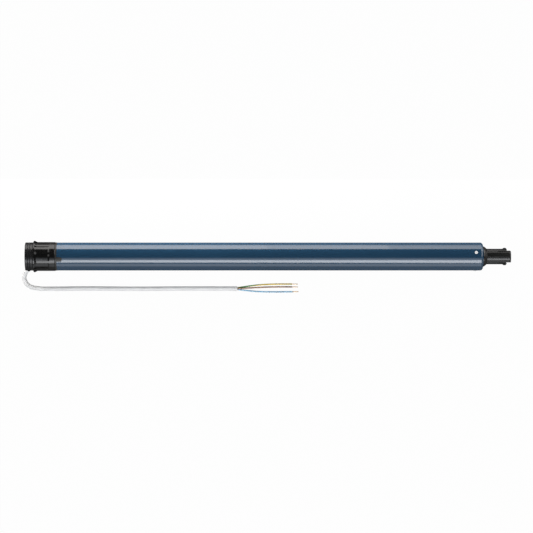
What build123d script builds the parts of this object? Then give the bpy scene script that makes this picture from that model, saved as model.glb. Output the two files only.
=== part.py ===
from build123d import *
import math
import os

# Tubular roller blind motor of the 45 mm class, lying on a flat surface with its cable beside it.
# Millimetres. +X runs along the motor axis from the head to the drive shaft, +Z is up, and the
# origin is the middle of the head's end face. Angles are counted about +X from +Y towards +Z.

os.makedirs("parts", exist_ok=True)

# Head
HEAD_OVER = 0.2
HEAD_LEN = 12.6
HEAD_EDGE = 0.6
BOSS_R = 10.5
BOSS_PROUD = 0.6
SOCKET_AF = 10.2
SOCKET_DEEP = 9.0
SOCKET_WALL = 3.0
FACE_WALL = 3.0
GROOVE_DEEP = 0.4
GROOVE_WIDE = 0.9
GROOVE_FIRST = 4.6
GROOVE_STEP = 3.5
STUB_R = 18.4
STUB_WALL = 2.2
STUB_PAST = 13.0
PILOT_R = 1.35
PILOT_PCD = 33.0
PILOT_DEEP = 6.0
PILOT_POST_R = 3.2
PILOTS = 4
PILOT_PHASE_DEG = 65.0

# Fits
CROWN_GAP = 0.4
RUN_FIT = 0.1
SLIDE_FIT = 0.05
END_PLAY = 0.3
MESH_PLAY = 0.12
OVERRUN = 2.0

# The turning crown, which the roller tube sits on
CROWN_LEN = 35.6
CROWN_OVER = 0.75
FLANGE_OVER = 2.8
FLANGE_LEN = 3.2
FLANGE_ROUND = 1.5
FLARE_LEN = 3.6
FLUTES = 10
FLUTE_DEEP = 1.1
FLUTE_RAMP = 2.6
FLUTE_RAMP_SHARE = 0.7
FLUTE_START = 2.4
FLUTE_END_PLAIN = 8.8
FLUTE_PHASE_DEG = 23.4
LAND_HALF = 1.8
FLANGE_TOP_SHARE = 0.6
CROWN_EDGE = 0.6
CROWN_GEAR_LEN = 6.0

# Travel pinion inside the head, driven by the crown
PINION_MODULE = 1.0
CROWN_TEETH = 38
PINION_TEETH = 10
CROWN_ADDENDUM = 0.5
CROWN_DEDENDUM = 0.8
PINION_LEN = 4.4
PINION_PIN_R = 1.2
PINION_HUB_R = 2.0
PINION_ANGLE_DEG = 90.0
BRACKET_T = 2.0

# Tube plug
COLLAR_LEN = 2.3
COLLAR_OVER = 0.2
SPIGOT_LEN = 24.0
KEY_WIDE = 7.0
KEY_LEN = 8.1
KEY_ANGLE_DEG = 102.6
PLUG_SCREWS = 3
SCREW_R = 1.5
SCREW_HEAD_R = 2.7
SCREW_HEAD_T = 1.2

# Tube
TUBE_R = 22.5
TUBE_WALL = 1.0
SLOT_PLAY = 0.2
SLOT_TIP_PLAY = 0.9
ROLL_LEN = 3.6
ROLL_IN = 5.0
RIVETS = 3
RIVET_R = 1.5
RIVET_HEAD_R = 2.5
RIVET_HEAD_T = 0.8
RIVET_DEEP = 4.0
RIVET_FROM_END = 12.0
RIVET_ANGLE_DEG = 73.7

# Bearing cap at the drive end
CAP_GAP = 15.1
CAP_LEN = 62.0
CAP_COLLAR_R = 16.45
CAP_COLLAR_OUT = 6.1
CAP_NOSE_R = 12.95
CAP_RELIEF_R = 17.0
CAP_POCKET_R = 15.0
CAP_WALL = 6.0
CAP_STEP_SHARES = (0.12, 0.5, 0.85)
CAP_FALL_SHARE = 0.35
BUSH_WALL = 2.5
SPINDLE_R = 8.0

# Drive shaft
DRIVE_R = 12.5
DRIVE_LEN = 38.4
DRIVE_GAP = 0.3
DRIVE_EDGE = 2.0
DRIVE_EDGE_SHARES = (0.4, 0.08)
DRIVE_EDGE_IN_SHARES = (0.25, 0.7)
DRIVE_GROOVES = 8
DRIVE_GROOVE_R = 0.9
DRIVE_GROOVE_PHASE_DEG = 51.0
SLAB_HALF = 8.5
FINGER_SLOT = 1.7
FINGER_LEN = 14.4
FINGER_SHORT = 6.8
HOOK_R = 14.2
HOOK_LEN = 7.4
HOOK_WIDE_SHARE = 0.6
HOOK_SHARES = (0.0, 0.3, 0.58, 0.86, 1.0)
HOOK_RISE_SHARES = (0.0, 0.82, 1.0, 0.82, 0.3)
FINGER_TILT_DEG = 8.0
HEX_AF = 12.0
HEX_LEN = 14.0
DRIVE_SCREW_R = 2.5
DRIVE_SCREW_HEAD_R = 4.2
DRIVE_SCREW_HEAD_T = 3.0
DRIVE_SCREW_DEEP = 7.0
KEY_HOLE_SHARE = 0.8

# Planetary gearbox, three like stages
MODULE = 0.9
SUN_TEETH = 9
PLANET_TEETH = 15
RING_TEETH = 39
PLANETS = 3
PRESSURE_DEG = 25.0
ADDENDUM_SHARE = 0.8
DEDENDUM_SHARE = 1.0
STAGE_WIDTHS = (16.0, 24.0, 36.0)
CARRIER_PLATES = (6.0, 8.0, 11.0)
STAGE_GAP = 1.0
CARRIER_R = 16.0
PLANET_PIN_R = 2.2
RING_R = 21.3
GEARBOX_FLANGE_T = 5.0
GEARBOX_LEAD = 3.0

# Motor
SHAFT_R = 3.0
MOTOR_GAP = 9.0
STATOR_LEN = 100.0
STATOR_R = 21.3
ROTOR_R = 12.0
AIR_GAP = 0.3
SLOTS = 8
SLOT_IN_R = 13.4
SLOT_OUT_R = 18.6
SLOT_HALF_DEG = 12.0
MOUTH_HALF_DEG = 4.0
END_TURN_LEN = 9.0
END_TURN_PLAY = 1.0
SHIELD_T = 9.0
SHIELD_GAP = 3.0
BEARING_R = 8.0
BEARING_LEN = 6.0
ROTOR_BARS = 12
ROTOR_BAR_R = 1.0
ROTOR_BAR_RING_R = 10.2
END_RING_LEN = 4.0
END_RING_R = 11.4
END_RING_IN_R = 6.0

# Brake
BRAKE_COIL_LEN = 26.0
BRAKE_COIL_R = 20.6
BRAKE_BORE_R = 6.0
ARMATURE_T = 4.0
ARMATURE_R = 20.2
ARMATURE_GAP = 0.6
BRAKE_DISC_T = 3.0
BRAKE_DISC_R = 14.6
BRAKE_HUB_R = 5.0
BRAKE_PLAY = 0.1
BRAKE_SPRINGS = 3
BRAKE_SPRING_R = 1.9
BRAKE_SPRING_DEEP = 8.0
BRAKE_SPRING_RING_R = 14.5
GUIDE_PIN_R = 1.5
GUIDE_RING_R = 17.4
BRAKE_GAP = 3.0
SKIRT_LEN = 19.25

# Electronics
TRAY_GAP = 4.3
TRAY_LEN = 176.0
TRAY_R = 21.3
TRAY_WALL = 1.4
TRAY_CUT_Z = 2.0
BOARD_T = 1.6
BOARD_HALF_WIDE = 18.4
BOARD_Z = -6.0
BOARD_MARGIN = 4.0
TRAY_LEDGE = 2.0
TERMINAL_BOX = (11.0, 17.0, 10.0)
TERMINAL_FROM_END = 2.0
TERMINAL_SIDE = -8.0
RELAY_BOX = (19.0, 13.5, 15.0)
RELAY_SIDE = 8.2
TRANSFORMER_BOX = (26.0, 24.0, 20.0)
TRANSFORMER_COIL_SHARE = 1.3
TRANSFORMER_CORE_SHARE = 0.62
BOARD_CAP_R = 6.3
BOARD_CAP_LEN = 20.0
BOARD_CAPS = 2
BOARD_CAP_STEP = 15.0
BRIDGE_BOX = (15.0, 5.0, 14.0)
RADIO_BOX = (24.0, 15.0, 3.0)
RADIO_CAN_BOX = (11.0, 9.0, 2.4)

# Run capacitor
CAPACITOR_LEN = 72.0
CAPACITOR_R = 17.0
CAPACITOR_EDGE = 1.5
CAPACITOR_TAB_BOX = (8.0, 6.3, 0.8)
CAPACITOR_TAB_SPREAD = 7.0
CRADLE_LEN = 12.0

# Set button
BUTTON_R = 2.4
BUTTON_AT_R = 15.4
BUTTON_ANGLE_DEG = 0.0
BUTTON_TRAVEL = 1.2
BUTTON_PROUD = 1.3
BUTTON_FLANGE_R = 3.1
BUTTON_FLANGE_T = 1.0
SWITCH_BOX = (4.0, 6.0, 6.0)
SWITCH_BOARD_BOX = (1.6, 4.0, 16.0)

# Cable
CABLE_R = 3.55
GROMMET_WALL = 1.1
GROMMET_OUT = 2.0
CLAMP_BOX = (9.0, 7.2, 12.0)
CORE_R = 1.2
CORE_SPREAD = 1.45
CORE_GAP = 0.2
TIP_R = 0.75
TIP_LEN = 9.6
LEAD_R = 1.0
LEAD_SPREAD = 2.3
CORNER_SHARE = 0.45

# Stations along the axis, worked out from the sizes above
HEAD_END = BOSS_PROUD + HEAD_LEN
CROWN_START = HEAD_END + CROWN_GAP
CROWN_END = CROWN_START + CROWN_LEN
COLLAR_START = CROWN_END + CROWN_GAP / 2
COLLAR_END = COLLAR_START + COLLAR_LEN
SPIGOT_END = COLLAR_END + SPIGOT_LEN
TUBE_START = COLLAR_END
TUBE_IN_R = TUBE_R - TUBE_WALL
HEAD_R = TUBE_R + HEAD_OVER
CROWN_R = TUBE_R + CROWN_OVER
FLANGE_R = TUBE_R + FLANGE_OVER
COLLAR_R = TUBE_R + COLLAR_OVER
STUB_END = COLLAR_END + STUB_PAST
CROWN_BORE = STUB_R + RUN_FIT
STUB_IN_R = STUB_R - STUB_WALL
TRAY_START = SPIGOT_END + TRAY_GAP
TRAY_END = TRAY_START + TRAY_LEN
CAPACITOR_START = TRAY_END + CAPACITOR_TAB_BOX[0]
CAPACITOR_END = CAPACITOR_START + CAPACITOR_LEN
REAR_SHIELD = CAPACITOR_END + MOTOR_GAP
STATOR_START = REAR_SHIELD + SHIELD_T + SHIELD_GAP + END_TURN_LEN
STATOR_END = STATOR_START + STATOR_LEN
FRONT_SHIELD = STATOR_END + END_TURN_LEN + SHIELD_GAP
BRAKE_START = FRONT_SHIELD + SHIELD_T + BRAKE_GAP
BRAKE_COIL_END = BRAKE_START + BRAKE_COIL_LEN
ARMATURE_START = BRAKE_COIL_END + ARMATURE_GAP
DISC_START = ARMATURE_START + ARMATURE_T + BRAKE_PLAY / 2
BRAKE_PLATE_START = DISC_START + BRAKE_DISC_T + BRAKE_PLAY
GEARBOX_START = BRAKE_PLATE_START + ARMATURE_T + SKIRT_LEN + GEARBOX_FLANGE_T

# Stages: start and end of the planets, then the carrier plate's two faces
STAGES = []
station = GEARBOX_START + GEARBOX_LEAD
for width, plate in zip(STAGE_WIDTHS, CARRIER_PLATES):
    STAGES.append((station, station + width, station + width + STAGE_GAP, station + width + STAGE_GAP + plate))
    station = STAGES[-1][3] + STAGE_GAP

# The tube is cut to suit what it holds
CAP_START = STAGES[-1][3] + CAP_GAP
BUSH_START = CAP_START + CAP_WALL
TUBE_END = CAP_START + CAP_LEN
CAP_END = TUBE_END + CAP_COLLAR_OUT
DRIVE_START = CAP_END + DRIVE_GAP
DRIVE_END = DRIVE_START + DRIVE_LEN
HEX_END = DRIVE_START + HEX_LEN
ORBIT_R = (SUN_TEETH + PLANET_TEETH) * MODULE / 2

# The surface that the motor lies on touches the flange below and the tube's far edge
LOW_X = CROWN_START + FLANGE_LEN / 2
HIGH_X = TUBE_END - ROLL_LEN
FLOOR_SLOPE = (FLANGE_R - TUBE_R) / (HIGH_X - LOW_X)


def floor_z(x):
    return FLOOR_SLOPE * (x - LOW_X) - FLANGE_R


# Small helpers

def across(x, angle=0.0):
    """The plane across the axis at x, its first direction turned by angle from +Y."""
    a = math.radians(angle)
    return Plane(origin=(x, 0, 0), x_dir=(0, math.cos(a), math.sin(a)), z_dir=(1, 0, 0))


def rod(x0, x1, r, y=0.0, z=0.0):
    return extrude(across(x0) * Pos(y, z, 0) * Circle(r), amount=x1 - x0)


def ring(x0, x1, outer, inner):
    return extrude(across(x0) * (Circle(outer) - Circle(inner)), amount=x1 - x0)


def turned(points):
    """A solid of revolution about the axis, from its closed outline of (x, radius)."""
    return revolve(make_face(Polyline(*points, close=True)), axis=Axis.X)


def block(x0, x1, y0, y1, z0, z1):
    middle = ((x0 + x1) / 2, (y0 + y1) / 2, (z0 + z1) / 2)
    return Pos(*middle) * Box(x1 - x0, y1 - y0, z1 - z0)


def at_angle(shape, angle):
    return Rot(angle, 0, 0) * shape


def save(name, shape):
    solids = [s for s in shape.solids()]
    body = solids[0] if len(solids) == 1 else Compound(children=solids)
    export_step(body, f"parts/{name}.step")
    print(name, len(solids), "solid" if len(solids) == 1 else "solids")


# Gears

def involute_angle(radius, base):
    t = math.sqrt(max((radius / base) ** 2 - 1, 0.0))
    return t - math.atan(t)


def tooth_half_angle(radius, teeth, pitch, thin):
    """Half the angle that an outside tooth fills at a radius, thinned for the play in mesh."""
    base = pitch * math.cos(math.radians(PRESSURE_DEG))
    at_pitch = math.pi / (2 * teeth) - thin / (2 * pitch)
    return at_pitch + involute_angle(pitch, base) - involute_angle(max(radius, base), base)


def toothed_outline(teeth, pitch, low, high, thin, phase=0.0, plain=False):
    """Closed outline of outside teeth from radius low to high, a tooth's middle at phase.

    A plain flank is one straight face, and else it is two."""
    base = pitch * math.cos(math.radians(PRESSURE_DEG))
    radii = [low, high] if plain else [low, (max(low, base) + high) / 2, high]
    points = []
    for n in range(teeth):
        middle = phase + 2 * math.pi * n / teeth
        flank = [(r, tooth_half_angle(r, teeth, pitch, thin)) for r in radii]
        for r, half in flank:
            points.append((r * math.cos(middle - half), r * math.sin(middle - half)))
        for r, half in reversed(flank):
            points.append((r * math.cos(middle + half), r * math.sin(middle + half)))
    return points


def outline_face(points):
    return make_face(Polyline(*points, close=True))


def outside_gear(teeth, module, thin, phase, plain=False):
    pitch = teeth * module / 2
    low, high = pitch - DEDENDUM_SHARE * module, pitch + ADDENDUM_SHARE * module
    return outline_face(toothed_outline(teeth, pitch, low, high, thin, phase, plain))


def inside_gear_space(teeth, module, inner, outer, thin, phase):
    """The hollow of an inside gear: its spaces are outside teeth, widened for the play."""
    pitch = teeth * module / 2
    return outline_face(toothed_outline(teeth, pitch, inner, outer, -thin, phase, True))


def planet_phase(angle):
    """How far a planet at this angle is turned so that it meshes with the ring's spaces."""
    step = 2 * math.pi / PLANET_TEETH
    ring_tooth = math.pi / RING_TEETH
    return angle - step * (0.5 + RING_TEETH * (angle - ring_tooth) / (2 * math.pi))


SUN_PHASE = math.pi * (PLANET_TEETH - 1) / SUN_TEETH
PLANET_ANGLES = [2 * math.pi * n / PLANETS for n in range(PLANETS)]


def sun(x0, x1):
    return extrude(across(x0) * outside_gear(SUN_TEETH, MODULE, MESH_PLAY / 2, SUN_PHASE), amount=x1 - x0)


# Head

def pinion_axis():
    a = math.radians(PINION_ANGLE_DEG)
    r = (CROWN_TEETH - PINION_TEETH) * PINION_MODULE / 2
    return r * math.cos(a), r * math.sin(a)


def on_floor(x, y, lift):
    return (x, y, floor_z(x) + lift)


CABLE_IN = (8.6, -15.6, -9.6)
CABLE_ROUTE = [
    CABLE_IN,
    (-5.6, -28.6, -20.6),
    on_floor(0.2, -46.8, CABLE_R),
    on_floor(16.4, -51.9, CABLE_R),
    on_floor(43.0, -52.3, CABLE_R),
    on_floor(94.0, -51.5, CABLE_R),
    on_floor(176.0, -52.3, CABLE_R),
    on_floor(262.0, -51.6, CABLE_R),
    on_floor(342.0, -51.9, CABLE_R),
]


def cable_axis_plane(distance):
    """The plane across the cable's first run, this far out from its inner end."""
    start, corner = Vector(*CABLE_ROUTE[0]), Vector(*CABLE_ROUTE[1])
    along = (corner - start).normalized()
    return Plane(origin=start + along * distance, z_dir=along)


def cable_cylinder(d0, d1, r):
    return extrude(cable_axis_plane(d0) * Circle(r), amount=d1 - d0)


def surface_distance(radius):
    """How far along the cable's first run the head's surface lies."""
    start, corner = Vector(*CABLE_ROUTE[0]), Vector(*CABLE_ROUTE[1])
    along = (corner - start).normalized()
    a = along.Y ** 2 + along.Z ** 2
    b = start.Y * along.Y + start.Z * along.Z
    c = start.Y ** 2 + start.Z ** 2 - radius ** 2
    return (-b + math.sqrt(b * b - a * c)) / a


GROMMET_START = -CABLE_R / 2
GROMMET_END = surface_distance(HEAD_R) + GROMMET_OUT


def head_housing():
    grooves = [BOSS_PROUD + GROOVE_FIRST + GROOVE_STEP * n for n in range(2)]
    outline = [(BOSS_PROUD, 0), (BOSS_PROUD, HEAD_R - HEAD_EDGE), (BOSS_PROUD + HEAD_EDGE, HEAD_R)]
    for x in grooves:
        outline += [(x - GROOVE_WIDE / 2, HEAD_R), (x, HEAD_R - GROOVE_DEEP), (x + GROOVE_WIDE / 2, HEAD_R)]
    outline += [(HEAD_END, HEAD_R), (HEAD_END, STUB_R), (STUB_END, STUB_R), (STUB_END, 0)]
    body = turned(outline)
    body += rod(0, BOSS_PROUD, BOSS_R)
    hollow = rod(BOSS_PROUD + FACE_WALL, STUB_END + OVERRUN, STUB_IN_R)
    socket_half = SOCKET_AF / 2
    block_half = socket_half + SOCKET_WALL
    keep = block(0, SOCKET_DEEP + FACE_WALL, -block_half, block_half, -block_half, block_half)
    post = rod(BOSS_PROUD, BOSS_PROUD + FACE_WALL + PILOT_DEEP, PILOT_POST_R, PILOT_PCD / 2)
    posts = [at_angle(post, PILOT_PHASE_DEG + 360 / PILOTS * n) for n in range(PILOTS)]
    body -= hollow
    body += keep & rod(BOSS_PROUD, STUB_END, STUB_IN_R + STUB_WALL / 2)
    for post in posts:
        body += post & rod(BOSS_PROUD, STUB_END, STUB_R)
    body -= block(-OVERRUN, SOCKET_DEEP, -socket_half, socket_half, -socket_half, socket_half)
    for n in range(PILOTS):
        hole = rod(-OVERRUN, BOSS_PROUD + PILOT_DEEP, PILOT_R, PILOT_PCD / 2)
        body -= at_angle(hole, PILOT_PHASE_DEG + 360 / PILOTS * n)
    hole = rod(-OVERRUN, BOSS_PROUD + FACE_WALL + OVERRUN, BUTTON_R + RUN_FIT, BUTTON_AT_R)
    body -= at_angle(hole, BUTTON_ANGLE_DEG)
    pocket_end = BOSS_PROUD + FACE_WALL + BUTTON_FLANGE_T + BUTTON_TRAVEL + END_PLAY * 2
    body -= at_angle(
        rod(BOSS_PROUD + FACE_WALL, pocket_end, BUTTON_FLANGE_R + END_PLAY, BUTTON_AT_R),
        BUTTON_ANGLE_DEG,
    )
    body -= cable_cylinder(GROMMET_START, GROMMET_END + OVERRUN, CABLE_R + GROMMET_WALL)
    for n in range(PLUG_SCREWS):
        body -= screw(n, SLIDE_FIT / 5)
    # Window that the travel pinion reaches through
    y, z = pinion_axis()
    window_r = PINION_TEETH * PINION_MODULE / 2 + CROWN_ADDENDUM + END_PLAY
    x0, x1 = pinion_span()
    body -= rod(x0 - END_PLAY, x1 + END_PLAY, window_r, y, z)
    return body


def pinion_span():
    end = CROWN_END - (CROWN_GEAR_LEN - PINION_LEN) / 2
    return end - PINION_LEN, end


def crown():
    flare_end = CROWN_START + FLANGE_LEN + FLARE_LEN
    top_start = CROWN_START + FLANGE_ROUND * FLANGE_TOP_SHARE
    outline = [
        (CROWN_START, CROWN_BORE),
        (CROWN_START, FLANGE_R - FLANGE_ROUND),
        (CROWN_START + FLANGE_ROUND / 4, FLANGE_R - FLANGE_ROUND / 3),
        (top_start, FLANGE_R),
        (CROWN_START + FLANGE_LEN - FLANGE_ROUND / 2, FLANGE_R),
        (CROWN_START + FLANGE_LEN, FLANGE_R - FLANGE_ROUND / 4),
        (flare_end - FLARE_LEN / 4, CROWN_R + FLANGE_ROUND / 8),
        (flare_end, CROWN_R),
        (CROWN_END - CROWN_EDGE, CROWN_R),
        (CROWN_END, CROWN_R - CROWN_EDGE),
        (CROWN_END, CROWN_BORE),
    ]
    body = turned(outline)
    # Flutes: long shallow hollows, deepest at mid length, that run out at both ends
    x0 = CROWN_START + FLUTE_START
    x1 = CROWN_END - FLUTE_END_PLAIN
    ramp_r = CROWN_R - FLUTE_DEEP * FLUTE_RAMP_SHARE
    flutes = turned([
        (x0, FLANGE_R + OVERRUN), (x0, CROWN_R), (x0 + FLUTE_RAMP, ramp_r),
        ((x0 + x1) / 2, CROWN_R - FLUTE_DEEP), (x1 - FLUTE_RAMP, ramp_r),
        (x1, CROWN_R), (x1, FLANGE_R + OVERRUN),
    ])
    step = 360 / FLUTES
    for n in range(FLUTES):
        land = block(x0 - OVERRUN, x1 + OVERRUN, 0, FLANGE_R * 2, -LAND_HALF, LAND_HALF)
        flutes -= at_angle(land, FLUTE_PHASE_DEG + step / 2 + step * n)
    body -= flutes
    pitch = CROWN_TEETH * PINION_MODULE / 2
    space = inside_gear_space(
        CROWN_TEETH, PINION_MODULE, pitch - CROWN_ADDENDUM, pitch + CROWN_DEDENDUM, MESH_PLAY,
        math.radians(PINION_ANGLE_DEG),
    )
    body -= extrude(across(CROWN_END - CROWN_GEAR_LEN) * space, amount=CROWN_GEAR_LEN + OVERRUN)
    return body


def travel_pinion():
    y, z = pinion_axis()
    x0, x1 = pinion_span()
    pitch = PINION_TEETH * PINION_MODULE / 2
    points = toothed_outline(
        PINION_TEETH, pitch, pitch - CROWN_DEDENDUM, pitch + CROWN_ADDENDUM, MESH_PLAY,
        math.radians(PINION_ANGLE_DEG), True,
    )
    plane = Plane(origin=(x0, y, z), x_dir=(0, 1, 0), z_dir=(1, 0, 0))
    gear = extrude(plane * outline_face(points), amount=x1 - x0)
    hub = rod(x1, x1 + BRACKET_T, PINION_HUB_R, y, z)
    return gear + hub - rod(x0 - OVERRUN, x1 + BRACKET_T + OVERRUN, PINION_PIN_R + SLIDE_FIT, y, z)


def pinion_bracket():
    """A bridge across the stub's bore that holds the pinion's fixed pin."""
    y, z = pinion_axis()
    x0, x1 = pinion_span()
    plate_start = x1 + BRACKET_T + END_PLAY
    half = PINION_HUB_R * 2
    plate = block(plate_start, plate_start + BRACKET_T, -half, half, 0, STUB_R)
    plate = (plate + rod(plate_start, plate_start + BRACKET_T, STUB_IN_R) - block(
        plate_start - OVERRUN, plate_start + BRACKET_T + OVERRUN, -STUB_R, STUB_R, -STUB_R, 0))
    plate = plate & rod(plate_start, plate_start + BRACKET_T, STUB_IN_R)
    pin = rod(x0 - END_PLAY, plate_start, PINION_PIN_R, y, z)
    return plate + pin


def tube_plug():
    body = ring(COLLAR_START, COLLAR_END, COLLAR_R, STUB_R + SLIDE_FIT / 5)
    body += ring(COLLAR_END, SPIGOT_END, TUBE_IN_R, STUB_R + SLIDE_FIT / 5)
    body -= rod(STUB_END, SPIGOT_END + OVERRUN, TUBE_IN_R - TUBE_WALL * 2)
    round_x = COLLAR_END + KEY_LEN - KEY_WIDE / 2
    key = block(
        COLLAR_END - COLLAR_LEN / 2, round_x, TUBE_IN_R - TUBE_WALL, COLLAR_R, -KEY_WIDE / 2, KEY_WIDE / 2,
    )
    tip = Plane(origin=(round_x, TUBE_IN_R - TUBE_WALL, 0), x_dir=(1, 0, 0), z_dir=(0, 1, 0))
    key += extrude(tip * Circle(KEY_WIDE / 2), amount=COLLAR_R - TUBE_IN_R + TUBE_WALL)
    key = key & ring(COLLAR_START, COLLAR_END + KEY_LEN, TUBE_R - SLIDE_FIT, TUBE_IN_R - TUBE_WALL)
    body += at_angle(key, KEY_ANGLE_DEG)
    for n in range(PLUG_SCREWS):
        body -= screw(n, SLIDE_FIT / 5)
    return body


def screw_x():
    return COLLAR_END + KEY_LEN + (STUB_END - COLLAR_END - KEY_LEN) / 2


def screw(n, grow=0.0):
    """A countersunk self-tapping screw through the plug into the stub."""
    top = TUBE_IN_R - SLIDE_FIT
    x = screw_x()
    head = Plane(origin=(x, 0, 0), x_dir=(1, 0, 0), z_dir=(0, 1, 0))
    shank = extrude(head.offset(STUB_IN_R) * Circle(SCREW_R + grow), amount=top - STUB_IN_R)
    cap = extrude(head.offset(top - SCREW_HEAD_T) * Circle(SCREW_HEAD_R + grow), amount=SCREW_HEAD_T)
    whole = (shank + cap) & rod(x - SCREW_HEAD_R - grow, x + SCREW_HEAD_R + grow, top + grow)
    return at_angle(whole, KEY_ANGLE_DEG + 60 + 360 / PLUG_SCREWS * n)


def plug_screws():
    body = screw(0)
    for n in range(1, PLUG_SCREWS):
        body += screw(n)
    return body


def motor_tube():
    outline = [
        (TUBE_START, TUBE_IN_R), (TUBE_START, TUBE_R), (TUBE_END - ROLL_LEN, TUBE_R),
        (TUBE_END - ROLL_LEN / 2, TUBE_R - ROLL_IN / 5), (TUBE_END - ROLL_LEN / 6, TUBE_R - ROLL_IN / 2),
        (TUBE_END, TUBE_R - ROLL_IN), (TUBE_END - TUBE_WALL, TUBE_R - ROLL_IN - TUBE_WALL / 4),
        (TUBE_END - ROLL_LEN / 6 - TUBE_WALL, TUBE_R - ROLL_IN / 2 - TUBE_WALL / 2),
        (TUBE_END - ROLL_LEN / 2 - TUBE_WALL / 2, TUBE_R - ROLL_IN / 5 - TUBE_WALL),
        (TUBE_END - ROLL_LEN, TUBE_IN_R),
    ]
    body = turned(outline)
    half = KEY_WIDE / 2 + SLOT_PLAY
    slot_end = COLLAR_END + KEY_LEN + SLOT_TIP_PLAY
    slot = block(TUBE_START - OVERRUN, slot_end - half, TUBE_IN_R - OVERRUN, TUBE_R + OVERRUN, -half, half)
    round_end = Plane(origin=(slot_end - half, 0, 0), x_dir=(1, 0, 0), z_dir=(0, 1, 0))
    slot += extrude(round_end.offset(TUBE_IN_R - OVERRUN) * Circle(half), amount=TUBE_WALL + 2 * OVERRUN)
    body -= at_angle(slot, KEY_ANGLE_DEG)
    for n in range(RIVETS):
        body -= rivet(n, SLIDE_FIT / 5)
    return body


def rivet(n, grow=0.0):
    x = TUBE_END - RIVET_FROM_END
    up = Plane(origin=(x, 0, 0), x_dir=(1, 0, 0), z_dir=(0, 1, 0))
    shank = extrude(up.offset(TUBE_IN_R - RIVET_DEEP) * Circle(RIVET_R + grow), amount=RIVET_DEEP + TUBE_WALL)
    return at_angle(shank, RIVET_ANGLE_DEG + 360 / RIVETS * n)


def rivet_head(n):
    """A flat head whose underside follows the tube's round."""
    x = TUBE_END - RIVET_FROM_END
    up = Plane(origin=(x, 0, 0), x_dir=(1, 0, 0), z_dir=(0, 1, 0))
    drum = extrude(up.offset(TUBE_IN_R) * Circle(RIVET_HEAD_R), amount=TUBE_WALL + RIVET_HEAD_T)
    head = drum - rod(x - RIVET_HEAD_R * 2, x + RIVET_HEAD_R * 2, TUBE_R)
    return at_angle(head, RIVET_ANGLE_DEG + 360 / RIVETS * n)


def tube_rivets():
    body = rivet(0) + rivet_head(0)
    for n in range(1, RIVETS):
        body += rivet(n) + rivet_head(n)
    return body


def end_bearing():
    """The moulded cap that closes the tube and carries the drive spindle."""
    bore = SPINDLE_R + RUN_FIT + BUSH_WALL
    face = TUBE_END - ROLL_LEN - TUBE_WALL
    steps = [TUBE_END + CAP_COLLAR_OUT * share for share in CAP_STEP_SHARES]
    fall = (CAP_COLLAR_R - CAP_NOSE_R) * CAP_FALL_SHARE
    outline = [
        (CAP_START, bore), (CAP_START, TUBE_IN_R - SLIDE_FIT), (face, TUBE_IN_R - SLIDE_FIT),
        (face, CAP_RELIEF_R - TUBE_WALL), (TUBE_END - TUBE_WALL * 2, CAP_COLLAR_R),
        (steps[0], CAP_COLLAR_R), (steps[1], CAP_COLLAR_R - fall), (steps[2], CAP_NOSE_R + CAP_COLLAR_OUT / 20),
        (CAP_END, CAP_NOSE_R - CAP_COLLAR_OUT / 20),
        (CAP_END, bore),
    ]
    body = turned(outline)
    ribs_end = face - CAP_WALL
    hollow = ring(CAP_START + CAP_WALL, ribs_end, TUBE_IN_R + OVERRUN, CAP_POCKET_R)
    pockets = hollow
    for n in range(RIVETS * 2):
        rib = block(CAP_START, ribs_end + OVERRUN, 0, TUBE_R + OVERRUN, -CAP_WALL / 2, CAP_WALL / 2)
        pockets -= at_angle(rib, RIVET_ANGLE_DEG + 180 / RIVETS * n)
    body -= pockets
    for n in range(RIVETS):
        body -= rivet(n, SLIDE_FIT / 5)
    return body


def output_bush():
    return ring(BUSH_START, CAP_END, SPINDLE_R + RUN_FIT + BUSH_WALL, SPINDLE_R + RUN_FIT)


def drive_blank():
    outline = [(DRIVE_START, 0), (DRIVE_START, DRIVE_R), (DRIVE_END - DRIVE_EDGE, DRIVE_R)]
    for back, inward in zip(DRIVE_EDGE_SHARES, DRIVE_EDGE_IN_SHARES):
        outline.append((DRIVE_END - DRIVE_EDGE * back, DRIVE_R - DRIVE_EDGE * inward))
    outline += [(DRIVE_END, DRIVE_R - DRIVE_EDGE), (DRIVE_END, 0)]
    return turned(outline)


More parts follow.
